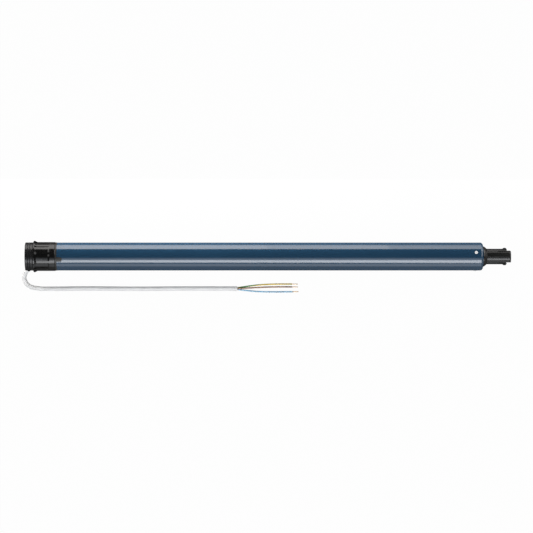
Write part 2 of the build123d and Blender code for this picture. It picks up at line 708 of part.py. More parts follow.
def drive_shaft():
    body = drive_blank()
    step = 360 / DRIVE_GROOVES
    for n in range(DRIVE_GROOVES):
        body -= at_angle(
            rod(DRIVE_START - OVERRUN, DRIVE_END + OVERRUN, DRIVE_GROOVE_R, DRIVE_R + DRIVE_GROOVE_R / 4),
            DRIVE_GROOVE_PHASE_DEG + step * n,
        )
    # Rounded corners of the middle slab, cut before the fingers are parted from it
    slab_end = DRIVE_END - FINGER_SHORT
    slot_start = slab_end - FINGER_LEN
    reach = DRIVE_R + OVERRUN
    for side in (-1, 1):
        y0, y1 = sorted((side * SLAB_HALF, side * (SLAB_HALF + FINGER_SLOT)))
        body -= at_angle(block(slot_start, DRIVE_END + OVERRUN, y0, y1, -reach, reach), FINGER_TILT_DEG)
        y0, y1 = sorted((side * SLAB_HALF, side * reach))
        body -= at_angle(block(slab_end, DRIVE_END + OVERRUN, y0, y1, -reach, reach), FINGER_TILT_DEG)
    # Hooks at the two fingers' ends
    hook_start = slab_end - HOOK_LEN
    root_r = DRIVE_R - FINGER_SLOT / 2
    rises = zip(HOOK_SHARES, HOOK_RISE_SHARES)
    outline = [(hook_start + HOOK_LEN * s, root_r + (HOOK_R - root_r) * h) for s, h in rises]
    outline += [(slab_end, SLAB_HALF + FINGER_SLOT), (hook_start, SLAB_HALF + FINGER_SLOT)]
    hooks = turned(outline)
    width = SLAB_HALF * HOOK_WIDE_SHARE
    for side in (-1, 1):
        y0, y1 = sorted((side * (SLAB_HALF + FINGER_SLOT), side * (HOOK_R + OVERRUN)))
        body += hooks & at_angle(block(hook_start, slab_end, y0, y1, -width, width), FINGER_TILT_DEG)
    hexagon = RegularPolygon(HEX_AF / 2 + SLIDE_FIT / 5, 6, major_radius=False)
    body -= extrude(across(DRIVE_START - OVERRUN) * hexagon, amount=HEX_LEN + OVERRUN)
    body -= rod(DRIVE_END - DRIVE_SCREW_DEEP, DRIVE_END + OVERRUN, DRIVE_SCREW_HEAD_R + END_PLAY)
    body -= rod(HEX_END - OVERRUN, DRIVE_END, DRIVE_SCREW_R)
    return body


def drive_screw():
    seat = DRIVE_END - DRIVE_SCREW_DEEP
    head = rod(seat, seat + DRIVE_SCREW_HEAD_T, DRIVE_SCREW_HEAD_R)
    key_hole = RegularPolygon(DRIVE_SCREW_R * KEY_HOLE_SHARE, 6)
    head -= extrude(across(seat + DRIVE_SCREW_HEAD_T / 3) * key_hole, amount=DRIVE_SCREW_HEAD_T)
    return head + rod(HEX_END - HEX_LEN / 2, seat, DRIVE_SCREW_R)


# Gear train

def planet(stage, n):
    x0, x1 = STAGES[stage][:2]
    angle = PLANET_ANGLES[n]
    y, z = ORBIT_R * math.cos(angle), ORBIT_R * math.sin(angle)
    face = outside_gear(PLANET_TEETH, MODULE, MESH_PLAY / 2, planet_phase(angle), True)
    plane = Plane(origin=(x0, y, z), x_dir=(0, 1, 0), z_dir=(1, 0, 0))
    gear = extrude(plane * face, amount=x1 - x0)
    return gear - rod(x0 - OVERRUN, x1 + OVERRUN, PLANET_PIN_R + SLIDE_FIT, y, z)


def carrier(stage):
    """A plate with three planet pins on one side and the next sun, or the spindle, on the other."""
    x0, x1, face, back = STAGES[stage]
    body = rod(face, back, CARRIER_R)
    for angle in PLANET_ANGLES:
        y, z = ORBIT_R * math.cos(angle), ORBIT_R * math.sin(angle)
        body += rod(x0 - STAGE_GAP / 2, face, PLANET_PIN_R, y, z)
    if stage + 1 < len(STAGES):
        body += sun(back, STAGES[stage + 1][1])
    else:
        body += rod(back, DRIVE_START + END_PLAY, SPINDLE_R)
        body -= rod(DRIVE_START, DRIVE_START + OVERRUN, SPINDLE_R)
        hexagon = RegularPolygon(HEX_AF / 2, 6, major_radius=False)
        body += extrude(across(DRIVE_START) * hexagon, amount=HEX_LEN - END_PLAY)
        body -= rod(HEX_END - HEX_LEN / 2, HEX_END + OVERRUN, DRIVE_SCREW_R)
    return body


def ring_gear():
    pitch = RING_TEETH * MODULE / 2
    space = inside_gear_space(
        RING_TEETH, MODULE, pitch - ADDENDUM_SHARE * MODULE, pitch + DEDENDUM_SHARE * MODULE,
        MESH_PLAY / 2, 0.0,
    )
    return extrude(across(GEARBOX_START) * (Circle(RING_R) - space), amount=CAP_START - GEARBOX_START)


def gearbox_flange():
    return ring(GEARBOX_START - GEARBOX_FLANGE_T, GEARBOX_START, RING_R, SHAFT_R + MODULE)


# Motor

def sector(r0, r1, half_deg):
    half = math.radians(half_deg)
    corners = [(r0, -half), (r1, -half), (r1, half), (r0, half)]
    return outline_face([(r * math.cos(a), r * math.sin(a)) for r, a in corners])


def slot_face(n):
    return Rot(0, 0, 360 / SLOTS * n) * sector(SLOT_IN_R, SLOT_OUT_R, SLOT_HALF_DEG)


def stator_core():
    bore = ROTOR_R + AIR_GAP
    face = Circle(STATOR_R) - Circle(bore)
    for n in range(SLOTS):
        face -= slot_face(n)
        face -= Rot(0, 0, 360 / SLOTS * n) * sector(bore / 2, SLOT_IN_R + TUBE_WALL / 2, MOUTH_HALF_DEG)
    return extrude(across(STATOR_START) * face, amount=STATOR_LEN)


def end_turns(x0, x1):
    inner, outer = SLOT_IN_R, SLOT_OUT_R
    lean = (outer - inner) / 4
    return turned([(x0, inner + lean), (x1, inner), (x1, outer), (x0, outer - lean)])


def stator_windings():
    body = end_turns(STATOR_START - END_TURN_LEN, STATOR_START)
    body += end_turns(STATOR_END + END_TURN_LEN, STATOR_END)
    for n in range(SLOTS):
        body += extrude(across(STATOR_START) * slot_face(n), amount=STATOR_LEN)
    return body


def shield(x0):
    """An end shield with its bearing seat and four openings for the leads and the air."""
    body = ring(x0, x0 + SHIELD_T, STATOR_R, BEARING_R)
    for n in range(4):
        hole = rod(x0 - OVERRUN, x0 + SHIELD_T + OVERRUN, SHAFT_R, (BEARING_R + STATOR_R) / 2)
        body -= at_angle(hole, 45 + 90 * n)
    return body


def feet(x0, x1):
    """Two legs that carry an end shield against the stator stack, clear of the windings."""
    body = ring(x0, x1, STATOR_R, SLOT_OUT_R + END_TURN_PLAY)
    for n in range(2):
        gap = block(x0 - OVERRUN, x1 + OVERRUN, 0, STATOR_R + OVERRUN, -STATOR_R / 2, STATOR_R / 2)
        body -= at_angle(gap, 180 * n)
    return body


def rear_shield():
    return shield(REAR_SHIELD) + feet(REAR_SHIELD + SHIELD_T, STATOR_START)


def front_shield():
    return shield(FRONT_SHIELD) + feet(STATOR_END, FRONT_SHIELD)


def shaft_bearings():
    inset = (SHIELD_T - BEARING_LEN) / 2
    body = ring(REAR_SHIELD + inset, REAR_SHIELD + inset + BEARING_LEN, BEARING_R, SHAFT_R + SLIDE_FIT)
    body += ring(FRONT_SHIELD + inset, FRONT_SHIELD + inset + BEARING_LEN, BEARING_R, SHAFT_R + SLIDE_FIT)
    return body


def bar_face(n):
    return Rot(0, 0, 360 / ROTOR_BARS * n) * Pos(ROTOR_BAR_RING_R, 0, 0) * RegularPolygon(ROTOR_BAR_R, 4)


def rotor_core():
    face = Circle(ROTOR_R) - Circle(SHAFT_R)
    for n in range(ROTOR_BARS):
        face -= bar_face(n)
    return extrude(across(STATOR_START) * face, amount=STATOR_LEN)


def rotor_cage():
    """The cast bars of the rotor and the two rings that join them."""
    body = ring(STATOR_START - END_RING_LEN, STATOR_START, END_RING_R, END_RING_IN_R)
    body += ring(STATOR_END, STATOR_END + END_RING_LEN, END_RING_R, END_RING_IN_R)
    for n in range(ROTOR_BARS):
        body += extrude(across(STATOR_START) * bar_face(n), amount=STATOR_LEN)
    return body


def motor_shaft():
    x0, x1 = STAGES[0][:2]
    body = rod(REAR_SHIELD, x0 - STAGE_GAP, SHAFT_R)
    return body + sun(x0 - STAGE_GAP, x1)


# Brake

def brake_coil():
    body = ring(BRAKE_START, BRAKE_COIL_END, BRAKE_COIL_R, BRAKE_BORE_R)
    for n in range(BRAKE_SPRINGS):
        bottom = BRAKE_COIL_END - BRAKE_SPRING_DEEP
        hole = rod(bottom, BRAKE_COIL_END + OVERRUN, BRAKE_SPRING_R + END_PLAY, BRAKE_SPRING_RING_R)
        body -= at_angle(hole, 360 / BRAKE_SPRINGS * n)
    for n in range(BRAKE_SPRINGS):
        pin = rod(BRAKE_COIL_END, BRAKE_PLATE_START, GUIDE_PIN_R, GUIDE_RING_R)
        body += at_angle(pin, 60 + 360 / BRAKE_SPRINGS * n)
    step = ring(BRAKE_START - BRAKE_GAP, BRAKE_START, BRAKE_COIL_R, BRAKE_COIL_R - TUBE_WALL * 3)
    return body + step


def brake_armature():
    body = ring(ARMATURE_START, ARMATURE_START + ARMATURE_T, ARMATURE_R, BRAKE_BORE_R)
    for n in range(BRAKE_SPRINGS):
        x0, x1 = ARMATURE_START - OVERRUN, ARMATURE_START + ARMATURE_T + OVERRUN
        hole = rod(x0, x1, GUIDE_PIN_R + RUN_FIT * 2, GUIDE_RING_R)
        body -= at_angle(hole, 60 + 360 / BRAKE_SPRINGS * n)
    return body


def brake_springs():
    """Three short springs, each drawn as the sleeve that its turns fill."""
    spring = ring(BRAKE_COIL_END - BRAKE_SPRING_DEEP, ARMATURE_START, BRAKE_SPRING_R, BRAKE_SPRING_R / 2)
    spring = Pos(0, BRAKE_SPRING_RING_R, 0) * spring
    body = spring
    for n in range(1, BRAKE_SPRINGS):
        body += at_angle(spring, 360 / BRAKE_SPRINGS * n)
    return body


def brake_disc():
    body = ring(DISC_START, DISC_START + BRAKE_DISC_T, BRAKE_DISC_R, SHAFT_R)
    for n in range(BRAKE_SPRINGS):
        x0, x1 = DISC_START - OVERRUN, DISC_START + BRAKE_DISC_T + OVERRUN
        hole = rod(x0, x1, SHAFT_R, (BRAKE_DISC_R + BRAKE_HUB_R) / 2)
        body -= at_angle(hole, 360 / BRAKE_SPRINGS * n)
    return body


def brake_plate():
    """The fixed plate that the disc is pressed against, standing off the gearbox flange."""
    outer = BRAKE_COIL_R
    plate = ring(BRAKE_PLATE_START, BRAKE_PLATE_START + ARMATURE_T, outer, BRAKE_HUB_R)
    skirt = ring(BRAKE_PLATE_START + ARMATURE_T, GEARBOX_START - GEARBOX_FLANGE_T, outer, outer - TUBE_WALL * 2)
    return plate + skirt


# Electronics

BOARD_START = TRAY_START + BOARD_MARGIN
BOARD_END = TRAY_END - BOARD_MARGIN
BOARD_TOP = BOARD_Z + BOARD_T


def circuit_tray():
    half = ring(TRAY_START, TRAY_END, TRAY_R, TRAY_R - TRAY_WALL)
    ends = rod(TRAY_START, TRAY_START + BOARD_MARGIN, TRAY_R)
    ends += rod(BOARD_END, TRAY_END, TRAY_R)
    ends -= rod(TRAY_START - OVERRUN, TRAY_END + OVERRUN, STUB_IN_R)
    ledge = block(TRAY_START, TRAY_END, -TRAY_R, TRAY_R, BOARD_Z - TRAY_LEDGE, BOARD_Z)
    ledge -= block(
        TRAY_START - OVERRUN, TRAY_END + OVERRUN, -BOARD_HALF_WIDE + TRAY_LEDGE,
        BOARD_HALF_WIDE - TRAY_LEDGE, BOARD_Z - 2 * TRAY_LEDGE, BOARD_Z + TRAY_LEDGE,
    )
    ledge = ledge & rod(TRAY_START, TRAY_END, TRAY_R)
    body = half + ends + ledge
    body -= block(TRAY_START + BOARD_MARGIN, BOARD_END, -TRAY_R * 2, TRAY_R * 2, TRAY_CUT_Z, TRAY_R * 2)
    return body


def circuit_board():
    return block(BOARD_START, BOARD_END, -BOARD_HALF_WIDE, BOARD_HALF_WIDE, BOARD_Z, BOARD_TOP)


def on_board(x, size, y=0.0, lift=0.0):
    long, wide, tall = size
    x0, z0 = BOARD_START + x, BOARD_TOP + lift
    return block(x0, x0 + long, y - wide / 2, y + wide / 2, z0, z0 + tall)


TRANSFORMER_COIL_LEN = TRANSFORMER_BOX[0] * TRANSFORMER_COIL_SHARE
BOARD_CAPS_LEN = BOARD_CAP_STEP * (BOARD_CAPS - 1) + BOARD_CAP_R * 2
BOARD_ROW = (TERMINAL_BOX[0], RELAY_BOX[0], TRANSFORMER_COIL_LEN, BOARD_CAPS_LEN, BRIDGE_BOX[0], RADIO_BOX[0])
BOARD_SPACE = (BOARD_END - BOARD_START - TERMINAL_FROM_END * 2 - sum(BOARD_ROW)) / (len(BOARD_ROW) - 1)


def board_place(n):
    """Where the nth part of the board's row starts, the parts spread evenly along the board."""
    return TERMINAL_FROM_END + sum(BOARD_ROW[:n]) + BOARD_SPACE * n


def board_terminals():
    return on_board(board_place(0), TERMINAL_BOX, TERMINAL_SIDE)


def board_relays():
    body = on_board(board_place(1), RELAY_BOX, -RELAY_SIDE)
    return body + on_board(board_place(1), RELAY_BOX, RELAY_SIDE)


def board_transformer():
    long, wide, tall = TRANSFORMER_BOX
    core = on_board(board_place(2) + (TRANSFORMER_COIL_LEN - long) / 2, TRANSFORMER_BOX)
    top = tall * TRANSFORMER_CORE_SHARE
    coil = on_board(board_place(2), (TRANSFORMER_COIL_LEN, wide * 2 / 3, top))
    return fillet(core.edges().filter_by(Axis.X), radius=BOARD_T) + coil


def board_capacitors():
    body = None
    for n in range(BOARD_CAPS):
        x = BOARD_START + board_place(3) + BOARD_CAP_R + BOARD_CAP_STEP * n
        can = Pos(x, 0, BOARD_TOP + BOARD_CAP_LEN / 2) * Cylinder(BOARD_CAP_R, BOARD_CAP_LEN)
        body = can if body is None else body + can
    return body


def board_bridge():
    return on_board(board_place(4), BRIDGE_BOX)


def board_radio():
    can = on_board(board_place(5) + BOARD_T, RADIO_CAN_BOX, 0.0, RADIO_BOX[2])
    return on_board(board_place(5), RADIO_BOX) + can


def run_capacitor():
    x0, x1 = CAPACITOR_START, CAPACITOR_END
    e = CAPACITOR_EDGE
    r = CAPACITOR_R
    body = turned([(x0, 0), (x0, r - e), (x0 + e, r), (x1 - e, r), (x1, r - e), (x1, 0)])
    long, wide, thick = CAPACITOR_TAB_BOX
    for side in (-1, 1):
        y = side * CAPACITOR_TAB_SPREAD
        body += block(x0 - long, x0, y - wide / 2, y + wide / 2, -thick / 2, thick / 2)
    return body


def capacitor_cradle():
    x1 = CAPACITOR_END
    wall = TRAY_WALL
    sleeve = ring(CAPACITOR_START, x1, CAPACITOR_R + wall, CAPACITOR_R)
    sleeve += ring(CAPACITOR_START, CAPACITOR_START + CRADLE_LEN, TRAY_R, CAPACITOR_R)
    sleeve += ring(x1 - CRADLE_LEN, REAR_SHIELD, TRAY_R, CAPACITOR_R)
    spacer = ring(TRAY_END, CAPACITOR_START, TRAY_R, TRAY_R - wall * 2)
    return sleeve + spacer


# Set button and its switch

def program_button():
    x0 = -BUTTON_PROUD + BOSS_PROUD
    flange = BOSS_PROUD + FACE_WALL + END_PLAY / 3
    body = rod(x0, flange, BUTTON_R, BUTTON_AT_R)
    body += rod(flange, flange + BUTTON_FLANGE_T, BUTTON_FLANGE_R, BUTTON_AT_R)
    return at_angle(body, BUTTON_ANGLE_DEG)


def button_switch():
    flange = BOSS_PROUD + FACE_WALL + END_PLAY / 3 + BUTTON_FLANGE_T
    x0 = flange + BUTTON_TRAVEL + END_PLAY
    long, wide, tall = SWITCH_BOX
    y = BUTTON_AT_R - wide / 2
    body = block(x0, x0 + long, y - wide / 2, y + wide / 2, -tall / 2, tall / 2)
    thick, board_wide, board_tall = SWITCH_BOARD_BOX
    reach = math.sqrt(STUB_IN_R ** 2 - (board_tall / 2) ** 2)
    board = block(x0 + long, x0 + long + thick, y - board_wide, reach, -board_tall / 2, board_tall / 2)
    return at_angle(body + board, BUTTON_ANGLE_DEG)


# Cable

def corner_radii(points):
    """Each corner's arc: a share of its shorter run over the tangent of half the turn."""
    radii = []
    for a, b, c in zip(points, points[1:], points[2:]):
        into, out = Vector(*b) - Vector(*a), Vector(*c) - Vector(*b)
        turn = math.radians(into.get_angle(out))
        radii.append(CORNER_SHARE * min(into.length, out.length) / math.tan(turn / 2))
    return radii


def tube_along(name, points, radius):
    radii = corner_radii(points)
    path = FilletPolyline(*points, radius=radii)
    section = Plane(origin=path @ 0, z_dir=path % 0) * Circle(radius)
    body = sweep(section, path=path)
    drawn = math.pi * radius ** 2 * path.length
    print(name, "radii", [round(r, 1) for r in radii], "length", round(path.length, 1),
          "volume share", round(body.volume / drawn, 4))
    return body


SHEATH_END = CABLE_ROUTE[-1]


def core_start(angle_deg):
    a = math.radians(angle_deg)
    x, y, z = SHEATH_END
    return (x + CORE_GAP, y + CORE_SPREAD * math.cos(a), z + CORE_SPREAD * math.sin(a))


EARTH_ROUTE = [
    core_start(-30.0),
    on_floor(366.0, -46.8, CORE_R),
    on_floor(398.4, -44.4, CORE_R),
    on_floor(430.5, -44.6, CORE_R),
]
LIVE_ROUTE = [
    core_start(90.0),
    on_floor(366.4, -50.6, CORE_R),
    on_floor(398.6, -49.0, CORE_R),
    on_floor(430.5, -49.2, CORE_R),
]
NEUTRAL_ROUTE = [
    core_start(210.0),
    on_floor(366.8, -56.6, CORE_R),
    on_floor(399.2, -57.4, CORE_R),
    on_floor(431.4, -57.0, CORE_R),
]


def tip(route):
    before, end = Vector(*route[-2]), Vector(*route[-1])
    along = (end - before).normalized()
    plane = Plane(origin=end, z_dir=along)
    return extrude(plane * Circle(TIP_R), amount=TIP_LEN)


def wire_tips():
    return tip(EARTH_ROUTE) + tip(LIVE_ROUTE) + tip(NEUTRAL_ROUTE)


def cable_grommet():
    body = cable_cylinder(GROMMET_START, GROMMET_END, CABLE_R + GROMMET_WALL)
    return body - cable_cylinder(GROMMET_START - OVERRUN, GROMMET_END + OVERRUN, CABLE_R)


def cable_clamp():
    """The block inside the head that the sheath ends in and the leads come out of."""
    x, y, z = CABLE_IN
    long, wide, tall = CLAMP_BOX
    body = block(x - long / 3, x + long * 2 / 3, y, y + wide, z - tall / 6, z + tall * 5 / 6)
    body -= cable_cylinder(GROMMET_START, GROMMET_END, CABLE_R + GROMMET_WALL)
    reach = rod(0, STUB_END, STUB_IN_R)
    return body & reach


def lead_end():
    return BOARD_START + TERMINAL_FROM_END


def inner_leads():
    x, y, z = CABLE_IN
    long, wide, tall = CLAMP_BOX
    x0 = x + long * 2 / 3
    body = None
    for n in (0, 1, 2):
        lead_y = y + wide / 2 + LEAD_SPREAD * (n - 1)
        lead = rod(x0, lead_end(), LEAD_R, lead_y, BOARD_TOP + TERMINAL_BOX[2] / 4)
        body = lead if body is None else body + lead
    return body


PIECES = {
    "head_housing": head_housing, "crown": crown, "travel_pinion": travel_pinion,
    "pinion_bracket": pinion_bracket, "tube_plug": tube_plug, "plug_screws": plug_screws,
    "motor_tube": motor_tube, "tube_rivets": tube_rivets, "end_bearing": end_bearing,
    "output_bush": output_bush, "drive_shaft": drive_shaft, "drive_screw": drive_screw,
    "ring_gear": ring_gear, "gearbox_flange": gearbox_flange, "stator_core": stator_core,
    "stator_windings": stator_windings, "rear_shield": rear_shield, "front_shield": front_shield,
    "shaft_bearings": shaft_bearings, "rotor_core": rotor_core, "rotor_cage": rotor_cage,
    "motor_shaft": motor_shaft, "brake_coil": brake_coil, "brake_armature": brake_armature,
    "brake_springs": brake_springs, "brake_disc": brake_disc, "brake_plate": brake_plate,
    "circuit_tray": circuit_tray, "circuit_board": circuit_board, "board_relays": board_relays,
    "board_transformer": board_transformer, "board_capacitors": board_capacitors,
    "board_bridge": board_bridge, "board_radio": board_radio, "board_terminals": board_terminals,
    "run_capacitor": run_capacitor, "capacitor_cradle": capacitor_cradle,
    "program_button": program_button, "button_switch": button_switch,
    "cable_grommet": cable_grommet, "cable_clamp": cable_clamp, "inner_leads": inner_leads,
    "wire_tips": wire_tips,
}

for name, make in PIECES.items():
    save(name, make())
for stage in range(len(STAGES)):
    save(f"carrier_{stage + 1}", carrier(stage))
    for n in range(PLANETS):
        save(f"planet_{stage + 1}{'abc'[n]}", planet(stage, n))
save("power_cable", tube_along("power_cable", CABLE_ROUTE, CABLE_R))
save("core_earth", tube_along("core_earth", EARTH_ROUTE, CORE_R))
save("core_live", tube_along("core_live", LIVE_ROUTE, CORE_R))
save("core_neutral", tube_along("core_neutral", NEUTRAL_ROUTE, CORE_R))
print("stage stations", [tuple(round(v, 2) for v in s) for s in STAGES])
print("orbit", ORBIT_R, "tube end", TUBE_END, "drive end", DRIVE_END)
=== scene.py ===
import math

import bpy
from mathutils import Matrix, Vector

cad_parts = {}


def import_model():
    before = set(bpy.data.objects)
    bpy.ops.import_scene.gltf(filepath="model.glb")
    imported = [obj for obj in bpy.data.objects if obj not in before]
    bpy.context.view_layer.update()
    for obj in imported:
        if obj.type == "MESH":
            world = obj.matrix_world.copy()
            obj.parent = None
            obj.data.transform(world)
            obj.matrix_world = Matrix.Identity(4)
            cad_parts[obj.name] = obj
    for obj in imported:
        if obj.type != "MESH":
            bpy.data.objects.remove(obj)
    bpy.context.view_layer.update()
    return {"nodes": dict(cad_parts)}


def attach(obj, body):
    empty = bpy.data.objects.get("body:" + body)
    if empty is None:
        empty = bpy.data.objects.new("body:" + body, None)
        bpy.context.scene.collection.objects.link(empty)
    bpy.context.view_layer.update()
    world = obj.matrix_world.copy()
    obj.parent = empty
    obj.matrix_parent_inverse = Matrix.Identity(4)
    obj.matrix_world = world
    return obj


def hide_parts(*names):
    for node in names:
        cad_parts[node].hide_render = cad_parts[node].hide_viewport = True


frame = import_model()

nodes = frame["nodes"]
scene = bpy.context.scene

# The surface that the motor and its cable lie on. It touches the crown's flange, and the tube's far end.
FLANGE_FOOT_X = 0.0152
FLANGE_FOOT_Z = -0.0253
FLOOR_RISE = 2.8
FLOOR_RUN = 719.3
FLOOR_SLOPE = FLOOR_RISE / FLOOR_RUN

# The camera looks straight down at the middle of the motor.
CAMERA_AT = (0.3892, -0.0161, 4.6)
VIEW_WIDTH = 0.8597
SENSOR_WIDTH = 36
CLIP_END = 50


def floor_z(x):
    return FLOOR_SLOPE * (x - FLANGE_FOOT_X) + FLANGE_FOOT_Z


def add(name, data):
    o = bpy.data.objects.new(name, data)
    scene.collection.objects.link(o)
    return o


def camera():
    data = bpy.data.cameras.new("camera")
    data.sensor_width = SENSOR_WIDTH
    data.lens = SENSOR_WIDTH * CAMERA_AT[2] / VIEW_WIDTH
    data.clip_end = CLIP_END
    cam = add("camera", data)
    cam.location = CAMERA_AT
    scene.camera = cam


# Noise between the two cloud edges takes the dark colour over into the light one. The gloss edges do
# the same for the roughness.
CLOUD_EDGES = (0.35, 0.65)
STAIN_EDGES = (0.35, 0.7)
GLOSS_EDGES = (0.3, 0.7)
NOISE_ROUGHNESS = 0.55
EVEN = (1, 1, 1)

# The colour sockets of a mix node.
MIX_A, MIX_B, MIX_RESULT = 6, 7, 2

# A film of this IOR mirrors about the same share of the light at every slant.
GLAZE_IOR = 4.0
GLAZE_MIRRORS = 0.36

GRAIN_SIZE = 0.0005
METAL_SPREAD = 0.07
SCATTER_DEPTH = 0.006


class Shade:
    """A procedural material: one principled shader with what drives its colour, roughness and bump."""

    def __init__(self, name, color, rough, metallic=0.0, specular=0.5):
        self.m = bpy.data.materials.new(name)
        self.m.use_nodes = True
        self.t = self.m.node_tree
        self.p = self.t.nodes["Principled BSDF"]
        self.set("Base Color", (*color, 1))
        self.set("Roughness", rough)
        self.set("Metallic", metallic)
        self.set("Specular IOR Level", specular)
        self.height = None

    def set(self, socket, value):
        self.p.inputs[socket].default_value = value

    def link(self, a, b):
        self.t.links.new(a, b)

    def node(self, kind, settings=(), **options):
        """A new node with the values of its named sockets and its options."""
        n = self.t.nodes.new(kind)
        for option, value in options.items():
            setattr(n, option, value)
        for socket, value in dict(settings).items():
            n.inputs[socket].default_value = value
        return n

    def feed(self, socket, value):
        """Links an output to the socket, or sets a plain value there."""
        if isinstance(value, tuple):
            socket.default_value = (*value, 1)
        elif isinstance(value, (int, float)):
            socket.default_value = value
        else:
            self.link(value, socket)

    def glaze(self, share, rough):
        """A surface film that mirrors this share of the light."""
        self.set("Coat Weight", share / GLAZE_MIRRORS)
        self.set("Coat IOR", GLAZE_IOR)
        self.set("Coat Roughness", rough)
        return self

    def noise(self, scale, detail, stretch=EVEN):
        place = self.node("ShaderNodeMapping", {"Scale": stretch})
        self.link(self.node("ShaderNodeTexCoord").outputs["Object"], place.inputs["Vector"])
        n = self.node("ShaderNodeTexNoise", {"Scale": scale, "Detail": detail, "Roughness": NOISE_ROUGHNESS})
        self.link(place.outputs["Vector"], n.inputs["Vector"])
        return n.outputs["Fac"]

    def ramp(self, value, edges, low=0, high=1):
        """Goes from low to high while the value goes from one edge to the other."""
        n = self.node("ShaderNodeMapRange", {
            "From Min": edges[0], "From Max": edges[1], "To Min": low, "To Max": high,
        })
        self.link(value, n.inputs["Value"])
        return n.outputs["Result"]

    def mix(self, share, a, b):
        n = self.node("ShaderNodeMix", data_type="RGBA")
        self.link(share, n.inputs[0])
        self.feed(n.inputs[MIX_A], a)
        self.feed(n.inputs[MIX_B], b)
        return n.outputs[MIX_RESULT]

    def math(self, kind, a, b=0.5):
        n = self.node("ShaderNodeMath", operation=kind)
        self.feed(n.inputs[0], a)
        self.feed(n.inputs[1], b)
        return n.outputs[0]

    def clouds(self, noise, dark, light, edges=CLOUD_EDGES):
        return self.mix(self.ramp(noise, edges), dark, light)

    def color(self, out):
        self.link(out, self.p.inputs["Base Color"])

    def gloss(self, noise, low, high):
        self.link(self.ramp(noise, GLOSS_EDGES, low, high), self.p.inputs["Roughness"])

    def bump(self, noise, distance, strength):
        b = self.node("ShaderNodeBump", {"Strength": strength, "Distance": distance})
        self.link(noise, b.inputs["Height"])
        if self.height is not None:
            self.link(self.height, b.inputs["Normal"])
        self.height = b.outputs["Normal"]
        self.link(self.height, self.p.inputs["Normal"])


def molded(name, dark, light, rough, depth=0.00002, spread=0.06, specular=0.5):
    """Moulded plastic: cloudy colour, flow marks in the gloss and a spark-eroded grain."""
    s = Shade(name, light, rough, specular=specular)
    s.color(s.clouds(s.noise(55, 4), dark, light))
    s.gloss(s.noise(38, 5, (0.35, 1, 1)), rough - spread, rough + spread)
    s.bump(s.noise(1 / GRAIN_SIZE, 2), depth, 0.6)
    return s


def glazed(name, dark, light, rough, share, glaze_rough, **more):
    """Black moulded plastic whose gloss is its surface film alone."""
    return molded(name, dark, light, rough, specular=0.0, **more).glaze(share, glaze_rough)


def metal(name, dark, light, rough, stretch=EVEN, scale=900, depth=0.00001, metallic=1.0):
    """Bare metal: stained colour, worn gloss and the marks of its making."""
    s = Shade(name, light, rough, metallic)
    s.color(s.clouds(s.noise(70, 5), dark, light, STAIN_EDGES))
    marks = s.noise(scale, 3, stretch)
    s.gloss(marks, rough - METAL_SPREAD, rough + METAL_SPREAD)
    s.bump(marks, depth, 0.5)
    return s


def lacquer():
    """Dark blue lacquer over a drawn steel tube, with faint draw lines and a light orange peel."""
    s = Shade("blue_lacquer", (0.011, 0.046, 0.094), 0.33, metallic=0.08, specular=0.0).glaze(0.055, 0.12)
    s.set("Specular Tint", (0.3, 0.45, 0.6, 1))
    s.color(s.clouds(s.noise(14, 5, (0.4, 1, 1)), (0.0075, 0.037, 0.077), (0.0105, 0.044, 0.089), GLOSS_EDGES))
    draw_lines = s.noise(260, 3, (0.02, 1, 1))
    s.gloss(draw_lines, 0.3, 0.4)
    s.bump(s.noise(500, 2), 0.000012, 0.4)
    s.bump(draw_lines, 0.00001, 0.3)
    return s


def pvc(name, dark, light, rough=0.42, scatter=1.0):
    """Soft PVC, drawn out along the cord."""
    s = Shade(name, light, rough)
    s.color(s.clouds(s.noise(90, 4), dark, light))
    s.gloss(s.noise(60, 4, (0.2, 1, 1)), rough - 0.07, rough + 0.09)
    s.bump(s.noise(420, 3, (0.25, 1, 1)), 0.00002, 0.4)
    s.set("Subsurface Weight", scatter)
    s.set("Subsurface Scale", SCATTER_DEPTH)
    s.set("Subsurface Radius", EVEN)
    return s


EARTH_TURNS = 0.85
EARTH_START = 0.2
EARTH_WANDER = 0.04
GREEN_HALF = 0.17
GREEN_EDGE = 0.2


def earth_pvc():
    """Yellow PVC with a green stripe that winds slowly round the wire."""
    s = Shade("earth_pvc", (0.7, 0.5, 0.06), 0.4)
    along_and_round = s.node("ShaderNodeSeparateXYZ")
    s.link(s.node("ShaderNodeTexCoord").outputs["UV"], along_and_round.inputs[0])
    wander = s.ramp(s.noise(30, 2), GLOSS_EDGES, -EARTH_WANDER, EARTH_WANDER)
    wound = s.math("MULTIPLY", along_and_round.outputs["X"], EARTH_TURNS)
    turns = s.math("ADD", wound, s.math("ADD", along_and_round.outputs["Y"], wander))
    wave = s.math("FRACT", s.math("ADD", turns, EARTH_START))
    from_middle = s.math("ABSOLUTE", s.math("SUBTRACT", wave))
    stripe = s.ramp(from_middle, (GREEN_HALF, GREEN_EDGE))
    yellow = s.clouds(s.noise(120, 3), (0.78, 0.56, 0.1), (0.85, 0.64, 0.14))
    green = s.clouds(s.noise(120, 3), (0.05, 0.24, 0.06), (0.08, 0.32, 0.09))
    s.color(s.mix(stripe, green, yellow))
    s.gloss(s.noise(60, 4, (0.2, 1, 1)), 0.33, 0.48)
    s.bump(s.noise(420, 3, (0.25, 1, 1)), 0.00004, 0.5)
    return s


# Cords: the routes of part.py in millimetres. The cable leaves the head, bends round to the floor and
# lies along the motor. Its three wires spread out from the sheath's end.
CABLE_R = 3.55
CORE_R = 1.2
CABLE_END = (342.2, -51.9)
CORE_ORBIT = 1.45


def mm(*lengths):
    return tuple(v / 1000 for v in lengths)


def on_floor(x, y, lift):
    return (x / 1000, y / 1000, floor_z(x / 1000) + lift / 1000)


